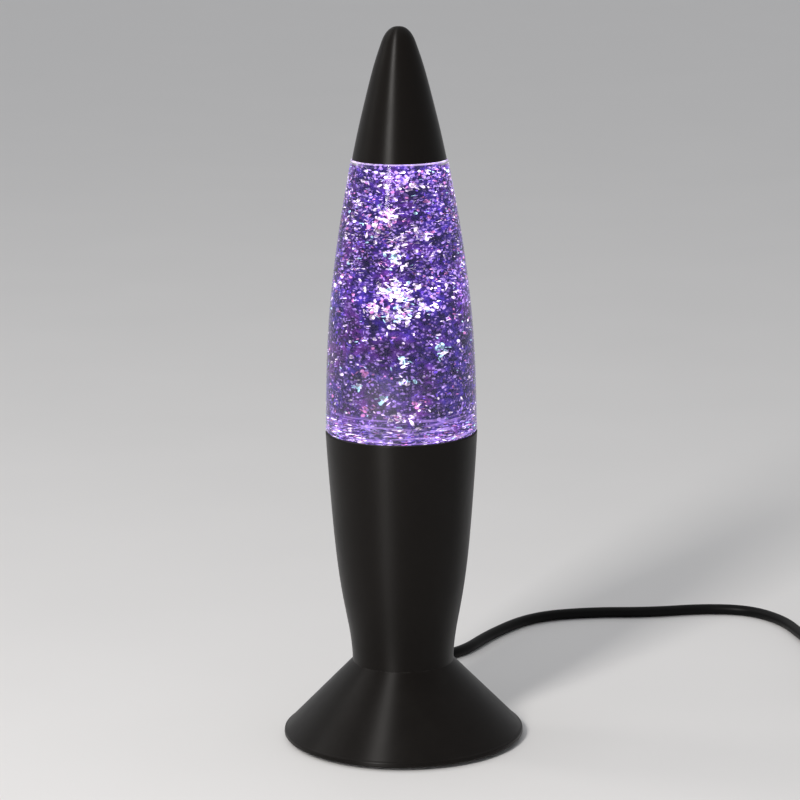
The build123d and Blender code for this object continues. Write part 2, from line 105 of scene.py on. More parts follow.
def coil_point(angle):
    """A place along the wound cord, from how far the winding has turned."""
    radius, height = COIL_SHIFTS[0][2:]
    for low, high, to_radius, to_height in COIL_SHIFTS:
        share = ease((angle - low) / (high - low))
        radius += (to_radius - radius) * share
        height += (to_height - height) * share
    height += sum(rise * math.exp(-((angle - at) / HUMP_WIDTH) ** 2) for at, rise in COIL_HUMPS)
    turn = math.radians(angle)
    return COIL_X + radius * math.cos(turn), COIL_Y + radius * math.sin(turn), height


def make_cord():
    """The whole cord as one smooth line, from the strain relief through the switch to the plug."""
    wound = [coil_point(angle) for angle in range(COIL_START, COIL_END + 1, COIL_STEP)]
    route = CORD_ROUTE + LINK_ROUTE + wound + TAIL_ROUTE
    curve = bpy.data.curves.new("mains_cord", "CURVE")
    curve.dimensions = "3D"
    line = curve.splines.new("NURBS")
    line.points.add(len(route) - 1)
    for point, place in zip(line.points, route):
        point.co = (*(v * MM for v in place), 1.0)
        point.radius = CORD_D / 2 * MM
    line.order_u = 3
    line.use_endpoint_u = True
    line.resolution_u = 8
    curve.bevel_depth = 1.0     # times each point's own radius
    curve.bevel_resolution = 6
    curve.use_fill_caps = True
    cord = bpy.data.objects.new("mains_cord", curve)
    bpy.context.collection.objects.link(cord)
    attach(cord, "base")
    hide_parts("cord_tube", "cord_link", "cord_coil", "cord_tail")
    return cord


cord = make_cord()


# ---------------------------------------------------------------- node helpers
def put(tree, kind, sockets=None, **settings):
    """Adds a node. Sockets take values or links by name or number; settings are its own options."""
    made = tree.nodes.new(kind)
    for key, value in settings.items():
        setattr(made, key, value)
    for key, value in (sockets or {}).items():
        if isinstance(value, bpy.types.NodeSocket):
            tree.links.new(value, made.inputs[key])
        else:
            made.inputs[key].default_value = value
    return made


def calc(tree, operation, first, second=0.0, third=0.0):
    """One arithmetic step."""
    return put(tree, "ShaderNodeMath", {0: first, 1: second, 2: third},
               operation=operation).outputs[0]


def spread(tree, value, low, high, to_low=0.0, to_high=1.0):
    """A smooth change from one level to another."""
    made = put(tree, "ShaderNodeMapRange",
               {"Value": value, "From Min": low, "From Max": high, "To Min": to_low,
                "To Max": to_high}, interpolation_type="SMOOTHSTEP")
    return made.outputs["Result"]


def spread_straight(tree, value, low, high):
    """A straight change from 0 to 1."""
    return put(tree, "ShaderNodeMapRange", {"Value": value, "From Min": low, "From Max": high}
               ).outputs["Result"]


def blend_colour(tree, share, first, second):
    """Two colours mixed by a share."""
    made = put(tree, "ShaderNodeMix", data_type="RGBA")
    for socket, value in zip((made.inputs[0], made.inputs[6], made.inputs[7]),
                             (share, first, second)):
        if isinstance(value, bpy.types.NodeSocket):
            tree.links.new(value, socket)
        elif isinstance(value, (int, float)):
            socket.default_value = value
        else:
            socket.default_value = (*value[:3], 1.0)
    return made.outputs[2]


def steps(tree, value, stops):
    """A curve of brightness over a value, as (place, level) stops."""
    made = put(tree, "ShaderNodeValToRGB", {"Fac": value})
    ramp = made.color_ramp
    ramp.interpolation = "EASE"
    while len(ramp.elements) < len(stops):
        ramp.elements.new(0.5)
    for element, (place, level) in zip(ramp.elements, stops):
        element.position = place
        element.color = (level, level, level, 1.0)
    return made.outputs["Color"]


def here(tree):
    """The piece's own coordinates."""
    return tree.nodes.new("ShaderNodeTexCoord").outputs["Object"]


def split(tree, vector):
    """A vector's X, Y and Z."""
    return put(tree, "ShaderNodeSeparateXYZ", {"Vector": vector}).outputs


def noise(tree, vector, scale, detail=3.0, roughness=0.55):
    """Soft random variation, from 0 to 1."""
    made = put(tree, "ShaderNodeTexNoise", {"Vector": vector, "Scale": scale, "Detail": detail,
                                            "Roughness": roughness})
    return made.outputs["Fac"]


def squeezed(tree, vector, across, along):
    """Coordinates scaled apart: across the lamp's axis and along it."""
    return put(tree, "ShaderNodeVectorMath", {0: vector, 1: (across, across, along)},
               operation="MULTIPLY").outputs[0]


# ---------------------------------------------------------------- shared effects
def new_group(name, inputs, outputs):
    """An empty shader group with named inputs and outputs."""
    tree = bpy.data.node_groups.new(name, "ShaderNodeTree")
    for label, default in inputs.items():
        socket = tree.interface.new_socket(label, in_out="INPUT", socket_type="NodeSocketFloat")
        socket.default_value = default
    for label in outputs:
        tree.interface.new_socket(label, in_out="OUTPUT", socket_type="NodeSocketFloat")
    return tree, tree.nodes.new("NodeGroupInput").outputs, tree.nodes.new("NodeGroupOutput").inputs


def make_grain():
    """Fine even grain of a sprayed or moulded skin."""
    tree, given, out = new_group("fine_grain", {"Scale": 900.0}, ["Height"])
    broad = noise(tree, here(tree), given["Scale"], 2.0)
    fine_scale = calc(tree, "MULTIPLY", given["Scale"], 3.1)
    fine = noise(tree, here(tree), fine_scale, 2.0)
    tree.links.new(calc(tree, "MULTIPLY_ADD", fine, 0.4, broad), out["Height"])
    return tree


def make_smudges():
    """Handling marks: broad soft patches with a few faint streaks."""
    tree, given, out = new_group("smudges", {"Scale": 40.0, "Amount": 0.1}, ["Change"])
    patches = noise(tree, here(tree), given["Scale"], 4.0, 0.6)
    streaks = noise(tree, squeezed(tree, here(tree), 1.0, 0.25), 180.0, 3.0)
    both = calc(tree, "MULTIPLY_ADD", streaks, 0.35, patches)
    centred = calc(tree, "SUBTRACT", both, 0.67)
    tree.links.new(calc(tree, "MULTIPLY", centred, given["Amount"]), out["Change"])
    return tree


def make_edge_wear():
    """Rubbed edges: where the rounded normal leaves the true one, broken up by grain."""
    tree, given, out = new_group("edge_wear", {"Radius": 0.0006, "Amount": 0.5}, ["Mask"])
    rounded = put(tree, "ShaderNodeBevel", {"Radius": given["Radius"]}, samples=4).outputs[0]
    plain = tree.nodes.new("ShaderNodeNewGeometry").outputs["Normal"]
    match = put(tree, "ShaderNodeVectorMath", {0: rounded, 1: plain},
                operation="DOT_PRODUCT").outputs["Value"]
    edge = spread(tree, match, 0.995, 0.90)
    ragged = spread(tree, noise(tree, here(tree), 420.0, 4.0, 0.7), 0.42, 0.62)
    worn = calc(tree, "MULTIPLY", edge, ragged)
    tree.links.new(calc(tree, "MULTIPLY", worn, given["Amount"]), out["Mask"])
    return tree


def make_dust():
    """Specks and a thin film of dust on faces that look up."""
    tree, given, out = new_group("settled_dust", {"Amount": 0.2}, ["Mask"])
    up = split(tree, tree.nodes.new("ShaderNodeNewGeometry").outputs["Normal"])["Z"]
    facing = spread(tree, up, 0.15, 0.95)
    film = spread(tree, noise(tree, here(tree), 60.0, 5.0, 0.7), 0.35, 0.75, 0.1, 0.45)
    dots = put(tree, "ShaderNodeTexVoronoi", {"Vector": here(tree), "Scale": 420.0})
    near = spread(tree, dots.outputs["Distance"], 0.16, 0.04)
    chance = calc(tree, "GREATER_THAN", split(tree, dots.outputs["Color"])["X"], 0.82)
    specks = calc(tree, "MULTIPLY", near, chance)
    lying = calc(tree, "MULTIPLY", calc(tree, "MAXIMUM", film, specks), facing)
    tree.links.new(calc(tree, "MULTIPLY", lying, given["Amount"]), out["Mask"])
    return tree


def make_turning():
    """Faint rings left by spinning or turning about the lamp's axis."""
    tree, given, out = new_group("turning_rings", {"Scale": 900.0}, ["Height"])
    x, y, z = split(tree, here(tree))
    radius = calc(tree, "SQRT", calc(tree, "MULTIPLY_ADD", x, x, calc(tree, "MULTIPLY", y, y)))
    rings = put(tree, "ShaderNodeCombineXYZ", {"X": radius, "Y": 0.0, "Z": z}).outputs[0]
    tree.links.new(noise(tree, rings, given["Scale"], 3.0, 0.6), out["Height"])
    return tree


def make_weave():
    """A narrow woven tape: ribs along it crossed by finer threads."""
    tree, given, out = new_group("tape_weave", {"Threads": 1600.0}, ["Height"])
    x, y, z = split(tree, here(tree))
    rib = calc(tree, "SINE", calc(tree, "MULTIPLY", z, given["Threads"]))
    across = calc(tree, "ADD", x, y)
    thread = calc(tree, "SINE", calc(tree, "MULTIPLY", across, given["Threads"]))
    tree.links.new(calc(tree, "MULTIPLY", rib, thread), out["Height"])
    return tree


# The lit bottle runs from its heel to the cap's rim.
BOTTLE_LOW, BOTTLE_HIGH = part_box("bottle")[0].z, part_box("cap")[0].z
# Brightness up the bottle, as (share of its height, level).
GLOW_LEVELS = [(0.0, 0.58), (0.14, 0.56), (0.18, 0.43), (0.33, 0.44), (0.46, 0.50),
               (0.56, 0.74), (0.62, 0.56), (0.75, 0.47), (0.90, 0.60), (1.0, 0.85)]


def make_lamp_glow():
    """How strongly the lamp under the bottle lights the liquid, from its heel to its shoulder."""
    tree, given, out = new_group("lamp_glow", {"Clumps": 0.5, "Strength": 2.0}, ["Light"])
    height = spread_straight(tree, split(tree, here(tree))["Z"], BOTTLE_LOW, BOTTLE_HIGH)
    level = steps(tree, height, GLOW_LEVELS)
    clumps = noise(tree, squeezed(tree, here(tree), 1.0, 1.7), 85.0, 3.0, 0.6)
    uneven = spread(tree, clumps, 0.36, 0.66, 0.35, 1.35)
    share = calc(tree, "MULTIPLY", calc(tree, "SUBTRACT", uneven, 1.0), given["Clumps"])
    bright = calc(tree, "MULTIPLY", level, given["Strength"])
    tree.links.new(calc(tree, "MULTIPLY", bright, calc(tree, "ADD", share, 1.0)), out["Light"])
    return tree


def make_flecks():
    """Countless small foil flecks: a mask for each and a random shade."""
    tree, given, out = new_group("flecks", {"Scale": 500.0, "Size": 0.45, "Flatten": 1.7},
                                 ["Mask", "Shade"])
    flat = put(tree, "ShaderNodeCombineXYZ", {"X": 1.0, "Y": 1.0, "Z": given["Flatten"]})
    place = put(tree, "ShaderNodeVectorMath", {0: here(tree), 1: flat.outputs[0]},
                operation="MULTIPLY").outputs[0]
    bent = put(tree, "ShaderNodeTexNoise", {"Vector": here(tree), "Scale": 260.0, "Detail": 2.0})
    shift = put(tree, "ShaderNodeVectorMath", {0: bent.outputs["Color"], "Scale": 0.0025},
                operation="SCALE").outputs[0]
    moved = put(tree, "ShaderNodeVectorMath", {0: place, 1: shift}, operation="ADD").outputs[0]
    cells = put(tree, "ShaderNodeTexVoronoi", {"Vector": moved, "Scale": given["Scale"]})
    edge = calc(tree, "MULTIPLY", given["Size"], 0.72)
    mask = put(tree, "ShaderNodeMapRange",
               {"Value": cells.outputs["Distance"], "From Min": given["Size"], "From Max": edge})
    tree.links.new(mask.outputs["Result"], out["Mask"])
    tree.links.new(split(tree, cells.outputs["Color"])["X"], out["Shade"])
    return tree


GROUPS = {tree.name: tree for tree in (
    make_grain(), make_smudges(), make_edge_wear(), make_dust(), make_turning(), make_weave(),
    make_lamp_glow(), make_flecks())}


def use(tree, name, **values):
    """A shared effect placed in a material with its own values."""
    made = tree.nodes.new("ShaderNodeGroup")
    made.node_tree = GROUPS[name]
    for key, value in values.items():
        made.inputs[key].default_value = value
    return made.outputs


# ---------------------------------------------------------------- materials
def new_material(name, **sockets):
    """A material with one shader whose plain values are set on its own sockets."""
    material = bpy.data.materials.new(name)
    material.use_nodes = True
    tree = material.node_tree
    shader = tree.nodes["Principled BSDF"]
    for key, value in sockets.items():
        shader.inputs[key.replace("_", " ")].default_value = value
    return material, tree, shader


def feed(tree, shader, **links):
    """Links values that vary over the surface to the shader's sockets."""
    for key, value in links.items():
        tree.links.new(value, shader.inputs[key.replace("_", " ")])


def bump(tree, height, distance, strength):
    """A surface normal from a height."""
    return put(tree, "ShaderNodeBump", {"Height": height, "Distance": distance,
                                        "Strength": strength}).outputs["Normal"]


def lacquer(name, colour):
    """Satin black lacquer over spun sheet: orange peel, turning rings, smudges and dust.

    The rings run round the lamp, so a highlight stretches along its axis.
    """
    material, tree, shader = new_material(name, Specular_IOR_Level=0.17, Anisotropic=0.85,
                                          Anisotropic_Rotation=0.25)
    wear = use(tree, "edge_wear", Radius=0.0007, Amount=0.3)["Mask"]
    dust = use(tree, "settled_dust", Amount=0.03)["Mask"]
    tone = noise(tree, here(tree), 24.0, 4.0)
    dark = [c * 0.75 for c in colour]
    painted = blend_colour(tree, tone, dark, colour)
    rubbed = blend_colour(tree, wear, painted, (0.06, 0.057, 0.054))
    dusty = blend_colour(tree, dust, rubbed, (0.20, 0.19, 0.175))
    change = use(tree, "smudges", Scale=38.0, Amount=0.16)["Change"]
    rough = calc(tree, "ADD", calc(tree, "ADD", change, 0.43), calc(tree, "MULTIPLY", dust, 0.5))
    peel = use(tree, "fine_grain", Scale=1100.0)["Height"]
    rings = use(tree, "turning_rings", Scale=1500.0)["Height"]
    height = calc(tree, "MULTIPLY_ADD", rings, 0.7, peel)
    feed(tree, shader, Base_Color=dusty, Roughness=rough, Normal=bump(tree, height, 0.00002, 0.5))
    return material


def moulded(name, colour, roughness, grain=1400.0, depth=0.00003, wear=0.5, dust=0.2):
    """A moulded plastic or rubber skin with a fine texture, rubbed edges and dust."""
    material, tree, shader = new_material(name, Specular_IOR_Level=0.4)
    rubbed = use(tree, "edge_wear", Radius=0.0004, Amount=wear)["Mask"]
    film = use(tree, "settled_dust", Amount=dust)["Mask"]
    tone = noise(tree, here(tree), 110.0, 4.0)
    skin = blend_colour(tree, tone, [c * 0.8 for c in colour], [c * 1.15 for c in colour])
    pale = [min(1.0, c * 1.6 + 0.05) for c in colour]
    skin = blend_colour(tree, rubbed, skin, pale)
    skin = blend_colour(tree, film, skin, (0.26, 0.25, 0.235))
    change = use(tree, "smudges", Scale=90.0, Amount=0.22)["Change"]
    rough = calc(tree, "ADD", change, roughness)
    height = use(tree, "fine_grain", Scale=grain)["Height"]
    feed(tree, shader, Base_Color=skin, Roughness=rough, Normal=bump(tree, height, depth, 0.6))
    return material


def metal(name, colour, roughness, rings=2600.0, tarnish=0.35):
    """A plated or bare metal with turning marks, smudges and a little tarnish."""
    material, tree, shader = new_material(name, Metallic=1.0)
    patches = spread(tree, noise(tree, here(tree), 150.0, 5.0, 0.65), 0.45, 0.75, 0.0, tarnish)
    dull = [c * 0.45 for c in colour]
    bare = blend_colour(tree, patches, colour, dull)
    worn = use(tree, "edge_wear", Radius=0.0003, Amount=0.6)["Mask"]
    bare = blend_colour(tree, worn, bare, [min(1.0, c * 1.2 + 0.05) for c in colour])
    change = use(tree, "smudges", Scale=160.0, Amount=0.25)["Change"]
    rough = calc(tree, "ADD", change, roughness)
    height = use(tree, "turning_rings", Scale=rings)["Height"]
    feed(tree, shader, Base_Color=bare, Roughness=rough, Normal=bump(tree, height, 0.00001, 0.5))
    return material


GLASS_IOR, GLASS_ROUGHNESS = 1.42, 0.012
LEDGE_LOW, LEDGE_FADE = 0.2943, 0.0004      # the bottle's ledge under the cap, metres
LEDGE_LIGHT = (0.80, 0.62, 1.0)


def glass(name, colour, lit_ledge=False):
    """Clear glass, slightly wavy, with finger marks, and a ledge that pipes the lamp's light."""
    material, tree, shader = new_material(name, IOR=GLASS_IOR, Transmission_Weight=1.0)
    shader.inputs["Base Color"].default_value = (*colour, 1.0)
    change = use(tree, "smudges", Scale=55.0, Amount=0.05)["Change"]
    rough = calc(tree, "MAXIMUM", calc(tree, "ADD", change, GLASS_ROUGHNESS), 0.0)
    wave = noise(tree, squeezed(tree, here(tree), 1.0, 1.6), 60.0, 2.0)
    feed(tree, shader, Roughness=rough, Normal=bump(tree, wave, 0.00006, 0.4))
    if lit_ledge:
        shader.inputs["Emission Strength"].default_value = 1.0
        z = split(tree, here(tree))["Z"]
        edge = spread(tree, z, LEDGE_LOW, LEDGE_LOW + LEDGE_FADE)
        uneven = spread(tree, noise(tree, here(tree), 160.0, 3.0), 0.36, 0.62, 0.1, 0.8)
        rim = blend_colour(tree, calc(tree, "MULTIPLY", edge, uneven), (0.0, 0.0, 0.0),
                           LEDGE_LIGHT)
        feed(tree, shader, Emission_Color=rim)
        material.cycles.emission_sampling = "NONE"
    return material


def violet_liquid():
    """Clear liquid with a faint violet tint."""
    material, tree, shader = new_material("violet_liquid", IOR=1.34, Transmission_Weight=1.0,
                                          Roughness=0.0)
    tone = noise(tree, here(tree), 30.0, 2.0)
    tint = blend_colour(tree, tone, (0.86, 0.80, 1.0), (0.92, 0.87, 1.0))
    feed(tree, shader, Base_Color=tint)
    return material


HAZE_DEEP, HAZE_PALE = (0.004, 0.0005, 0.055), (0.60, 0.38, 1.0)
HAZE_BLUE, HAZE_PINK = (0.075, 0.032, 0.44), (0.20, 0.036, 0.36)
# Blurred flakes in the haze, coarse then fine: scale, size, share lit and how flat they lie.
HAZE_FLECKS = ((430.0, 0.46, 0.45, 1.4), (760.0, 0.50, 0.5, 1.3))
BED_TOP, BED_FULL = 0.174, 0.166    # the settled layer's streaks fade in over these heights


def lit_haze():
    """The glowing depth of the bottle, where flakes behind flakes blur together."""
    material, tree, shader = new_material("lit_haze", Roughness=0.6, Specular_IOR_Level=0.0,
                                          Emission_Strength=1.0)
    shader.inputs["Base Color"].default_value = (0.008, 0.003, 0.02, 1.0)
    light = use(tree, "lamp_glow", Clumps=0.6, Strength=2.0)["Light"]
    hue = spread(tree, noise(tree, here(tree), 38.0, 3.0), 0.42, 0.62)
    mid = blend_colour(tree, hue, HAZE_BLUE, HAZE_PINK)
    cloud = noise(tree, squeezed(tree, here(tree), 1.0, 1.5), 190.0, 5.0, 0.7)
    colour = blend_colour(tree, spread(tree, cloud, 0.42, 0.66), HAZE_DEEP, mid)
    for scale, size, shown, flatten in HAZE_FLECKS:
        fleck = use(tree, "flecks", Scale=scale, Size=size, Flatten=flatten)
        bright = spread(tree, fleck["Shade"], 1.0 - shown, 1.0)
        tint = blend_colour(tree, bright, mid, HAZE_PALE)
        colour = blend_colour(tree, calc(tree, "MULTIPLY", fleck["Mask"], bright), colour, tint)
    z = split(tree, here(tree))["Z"]
    streaks = noise(tree, squeezed(tree, here(tree), 1.0, 16.0), 62.0, 3.0, 0.6)
    lines = calc(tree, "MULTIPLY", spread(tree, streaks, 0.50, 0.66),
                 spread(tree, z, BED_TOP, BED_FULL))
    colour = blend_colour(tree, lines, colour, HAZE_PALE)
    lit = put(tree, "ShaderNodeVectorMath", {0: colour, 1: light}, operation="MULTIPLY").outputs[0]
    feed(tree, shader, Emission_Color=lit)
    material.cycles.emission_sampling = "NONE"
    return material


def foil(name, colour, strength):
    """Foil flakes of one colour that catch the lamp's light, each a little differently."""
    material, tree, shader = new_material(name, Roughness=0.35, Metallic=0.6,
                                          Emission_Strength=strength)
    shader.inputs["Base Color"].default_value = (*[c * 0.25 for c in colour], 1.0)
    light = use(tree, "lamp_glow", Clumps=0.8, Strength=2.0)["Light"]
    each = noise(tree, here(tree), 520.0, 1.0)
    glint = spread(tree, each, 0.36, 0.62, 0.12, 1.3)
    level = calc(tree, "MULTIPLY", light, glint)
    lit = put(tree, "ShaderNodeVectorMath", {0: colour, 1: level}, operation="MULTIPLY")
    feed(tree, shader, Emission_Color=lit.outputs[0])
    material.cycles.emission_sampling = "NONE"
    return material


SILVER_TOP, FROST_LOW = 0.1185, 0.1205      # where the bulb's silvering ends, metres


def reflector_bulb():
    """The bulb's envelope: silvered cone below, frosted and glowing front above."""
    material, tree, shader = new_material("bulb_mirror", Emission_Strength=2.2, IOR=1.5)
    z = split(tree, here(tree))["Z"]
    front = spread(tree, z, SILVER_TOP, FROST_LOW)
    mottle = noise(tree, here(tree), 220.0, 4.0)
    silver = blend_colour(tree, mottle, (0.72, 0.72, 0.74), (0.84, 0.84, 0.86))
    glow = blend_colour(tree, mottle, (1.0, 0.70, 0.42), (1.0, 0.80, 0.55))
    mirror = calc(tree, "SUBTRACT", 1.0, front)
    rough = calc(tree, "MULTIPLY_ADD", front, 0.4, 0.14)
    lit = blend_colour(tree, front, (0.0, 0.0, 0.0), glow)
    feed(tree, shader, Base_Color=blend_colour(tree, front, silver, (0.9, 0.88, 0.84)),
         Metallic=mirror, Roughness=rough, Emission_Color=lit,
         Normal=bump(tree, mottle, 0.00002, 0.4))
    material.cycles.emission_sampling = "NONE"
    return material


def hot_wire():
    """The filament, glowing unevenly along its coil."""
    material, tree, shader = new_material("tungsten", Roughness=0.5, Emission_Strength=6.0)
    uneven = noise(tree, here(tree), 900.0, 3.0)
    colour = blend_colour(tree, uneven, (1.0, 0.55, 0.25), (1.0, 0.80, 0.50))
    feed(tree, shader, Emission_Color=colour)
    material.cycles.emission_sampling = "NONE"
    return material


def woven_tape():
    """The black hook-and-loop strap round the coil."""
    material, tree, shader = new_material("tie", Sheen_Weight=0.4, Sheen_Roughness=0.5)
    height = use(tree, "tape_weave", Threads=5200.0)["Height"]
    tone = noise(tree, here(tree), 300.0, 4.0)
    colour = blend_colour(tree, tone, (0.012, 0.012, 0.013), (0.035, 0.034, 0.034))
    rough = spread(tree, tone, 0.3, 0.7, 0.75, 0.95)
    feed(tree, shader, Base_Color=colour, Roughness=rough,
         Normal=bump(tree, height, 0.00008, 0.8))
    return material


def cord_sheath():
    """Smooth black sheath with a drawn surface, handling marks and a little dust."""
    material, tree, shader = new_material("cord", Specular_IOR_Level=0.12)
    dust = use(tree, "settled_dust", Amount=0.05)["Mask"]
    tone = noise(tree, here(tree), 70.0, 4.0)
    skin = blend_colour(tree, tone, (0.0015, 0.0014, 0.0014), (0.0035, 0.0032, 0.0032))
    skin = blend_colour(tree, dust, skin, (0.2, 0.19, 0.18))
    change = use(tree, "smudges", Scale=60.0, Amount=0.2)["Change"]
    rough = calc(tree, "ADD", change, 0.44)
    height = use(tree, "fine_grain", Scale=700.0)["Height"]
    feed(tree, shader, Base_Color=skin, Roughness=rough, Normal=bump(tree, height, 0.00003, 0.4))
    return material


BLACK = (0.0046, 0.0033, 0.0025)
FINISHES = {
    "black_paint": lacquer("black_paint", BLACK),
    "black_plastic": moulded("black_plastic", (0.022, 0.022, 0.023), 0.52),
    "rocker_plastic": moulded("rocker_plastic", (0.02, 0.02, 0.02), 0.22, depth=0.00001),
    "rubber_plug": moulded("rubber_plug", (0.02, 0.02, 0.021), 0.6, grain=1100.0),
    "rubber": moulded("rubber", (0.022, 0.022, 0.023), 0.72, grain=1000.0, depth=0.00005),
    "holder_plastic": moulded("holder_plastic", (0.035, 0.026, 0.02), 0.28, depth=0.00001),
    "liner": moulded("liner", (0.72, 0.71, 0.66), 0.7),
    "brown_wire": moulded("brown_wire", (0.16, 0.065, 0.03), 0.4, depth=0.00001),
    "blue_wire": moulded("blue_wire", (0.03, 0.10, 0.36), 0.4, depth=0.00001),
    "steel": metal("steel", (0.60, 0.60, 0.61), 0.34),
    "brass": metal("brass", (0.78, 0.57, 0.25), 0.26),
    "bulb_metal": metal("bulb_metal", (0.76, 0.76, 0.77), 0.24),
    "crown_steel": metal("crown_steel", (0.62, 0.60, 0.55), 0.22),
    "pin_metal": metal("pin_metal", (0.80, 0.78, 0.70), 0.18),
    "bulb_mirror": reflector_bulb(),
    "black_glass": moulded("black_glass", (0.012, 0.012, 0.02), 0.06, depth=0.000004, wear=0.1),
    "clear_glass": glass("clear_glass", (0.97, 0.98, 0.98)),
    "tungsten": hot_wire(),
    "bottle_glass": glass("bottle_glass", (0.95, 0.93, 1.0), lit_ledge=True),
    "violet_liquid": violet_liquid(),
    "cord": cord_sheath(),
    "tie": woven_tape(),
}
FOILS = {
    "white": foil("foil_white", (1.0, 0.88, 1.0), 1.7),
    "lilac": foil("foil_lilac", (0.60, 0.42, 1.0), 1.05),
    "pink": foil("foil_pink", (1.0, 0.36, 0.80), 0.95),
    "cyan": foil("foil_cyan", (0.55, 0.95, 1.0), 1.6),
    "violet": foil("foil_violet", (0.20, 0.09, 0.75), 0.8),
}


def finish_parts():
    """Gives each part of the frame the finish of its slot."""
    for row in frame["record"]["subparts"]:
        slot = row["material_slot"]
        finish = FOILS["lilac"] if slot == "glitter" else FINISHES[slot]
        shape = parts[row["node"]].data
        shape.materials.clear()
        shape.materials.append(finish)


finish_parts()
cord.data.materials.append(FINISHES["cord"])


# ---------------------------------------------------------------- what fills the bottle
# Inner outline of the bottle as (radius, height) in mm, from the heel to the liquid's top.
INNER_OUTLINE = [(33.7, 155.0), (35.2, 159.0), (35.5, 163.0), (35.25, 176.0), (34.4, 200.0),
                 (32.75, 222.0), (30.1, 245.0), (26.65, 268.0), (22.6, 285.0), (21.4, 290.7),
                 (17.2, 299.0), (13.4, 303.0)]
INTO_GLASS = 0.3            # the liquid's skin lies just inside the glass wall
FLOOR_OUTLINE = [(0.0, 155.3), (8.0, 155.0), (15.0, 154.3), (22.0, 153.3), (29.0, 152.2)]
CORE_SHARE = 0.82           # the haze's radius, as a share of the liquid's
CORE_LOW, CORE_HIGH = 158.0, 301.0
CORE_FLOOR = [(0.0, CORE_LOW), (12.0, CORE_LOW + 0.2), (20.0, CORE_LOW + 1.2)]
CORE_TOP = [(5.0, CORE_HIGH), (0.0, CORE_HIGH + 0.3)]
ROUND_STEPS = 96


def smooth_through(points, per_span=6):
    """A flowing outline through the points."""
    ends = [points[0], *points, points[-1]]
    flowing = []
    for before, a, b, after in zip(ends, ends[1:], ends[2:], ends[3:]):
        for i in range(per_span):
            t = i / per_span
            flowing.append(tuple(
                0.5 * (2 * q + (r - p) * t + (2 * p - 5 * q + 4 * r - s) * t * t
                       + (3 * q - p - 3 * r + s) * t ** 3)
                for p, q, r, s in zip(before, a, b, after)))
    return flowing + [points[-1]]


def lathe(name, outline, material):
    """A closed turned piece from a (radius, height) outline that starts and ends on the axis."""
    verts, faces = [], []
    rings = [point for point in outline if point[0] > 1e-6]
    for radius, height in rings:
        for i in range(ROUND_STEPS):
            turn = 2 * math.pi * i / ROUND_STEPS
            verts.append((radius * math.cos(turn) * MM, radius * math.sin(turn) * MM, height * MM))
    for k in range(len(rings) - 1):
        for i in range(ROUND_STEPS):
            j = (i + 1) % ROUND_STEPS
            low, high = k * ROUND_STEPS, (k + 1) * ROUND_STEPS
            faces.append((low + i, low + j, high + j, high + i))
    for first, pole, flip in ((0, outline[0], True), ((len(rings) - 1) * ROUND_STEPS,
                                                      outline[-1], False)):
        verts.append((0.0, 0.0, pole[1] * MM))
        for i in range(ROUND_STEPS):
            rim = (first + i, first + (i + 1) % ROUND_STEPS)
            faces.append((rim[1], rim[0], len(verts) - 1) if flip
                         else (rim[0], rim[1], len(verts) - 1))
    return add_piece(name, verts, faces, material)


def add_piece(name, verts, faces, material, smooth=True):
    """A mesh piece that rides with the bottle."""
    mesh = bpy.data.meshes.new(name)
    mesh.from_pydata(verts, [], faces)
    mesh.materials.append(material)
    mesh.polygons.foreach_set("use_smooth", [smooth] * len(mesh.polygons))
    piece = bpy.data.objects.new(name, mesh)
    bpy.context.collection.objects.link(piece)
    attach(piece, "bottle_unit")
    return piece


def radius_at(height):
    """The liquid's radius at a height."""
    for (r0, z0), (r1, z1) in zip(INNER_OUTLINE, INNER_OUTLINE[1:]):
        if z0 <= height <= z1:
            return r0 + (r1 - r0) * (height - z0) / (z1 - z0)
    return INNER_OUTLINE[-1][0]


def make_liquid():
    """The clear liquid, with the punt's hollow below and a level top in the neck."""
    side = [(r + INTO_GLASS, z) for r, z in smooth_through(INNER_OUTLINE)]
    outline = FLOOR_OUTLINE + side + [(0.0, side[-1][1])]
    liquid = lathe("violet_liquid", outline, FINISHES["violet_liquid"])
    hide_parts("liquid")


def make_haze():
    """The lit depth behind the nearest flakes, round-ended and clear of the glass."""
    within = [point for point in INNER_OUTLINE if CORE_LOW < point[1] < CORE_HIGH]
    side = [(r * CORE_SHARE, z) for r, z in smooth_through(within)]
    haze = lathe("lit_haze", CORE_FLOOR + side + CORE_TOP, lit_haze())
    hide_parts("glitter")


def flake(place, size, lean, turn, thickness):
    """A thin six-sided plate, leaning by an angle towards a direction."""
    axis = Vector((math.cos(turn), math.sin(turn), 0.0))
    pose = Matrix.Rotation(lean, 3, axis)
    corners = []
    for level in (-thickness / 2, thickness / 2):
        for i in range(6):
            a = math.radians(60 * i) + turn
            corner = Vector((size * math.cos(a), size * math.sin(a) * 0.8, level))
            corners.append(Vector(place) + pose @ corner)
    return corners


FLAKE_FACES = [(5, 4, 3, 2, 1, 0), (6, 7, 8, 9, 10, 11)] + [
    (i, (i + 1) % 6, 6 + (i + 1) % 6, 6 + i) for i in range(6)]
FLAKE_THICKNESS = 0.12
FLAKE_LOW, FLAKE_HIGH, CLUMP_HIGH = 168.0, 292.0, 291.0     # where loose flakes hang, mm
BED_LOW, BED_DEPTH = 157.5, 10.0        # the settled layer on the bottle's floor
TUMBLE_CHANGE = 225.0                   # flakes above this height lie flatter
TUMBLE_HIGH, TUMBLE_LOW, TUMBLE_BED, TUMBLE_CLUMP = 0.8, 1.2, 0.12, 1.0
GAP_TO_GLASS, GAPS = 1.0, 2.0           # flakes keep clear of the glass, and of glass and haze
draw = random.Random(41)


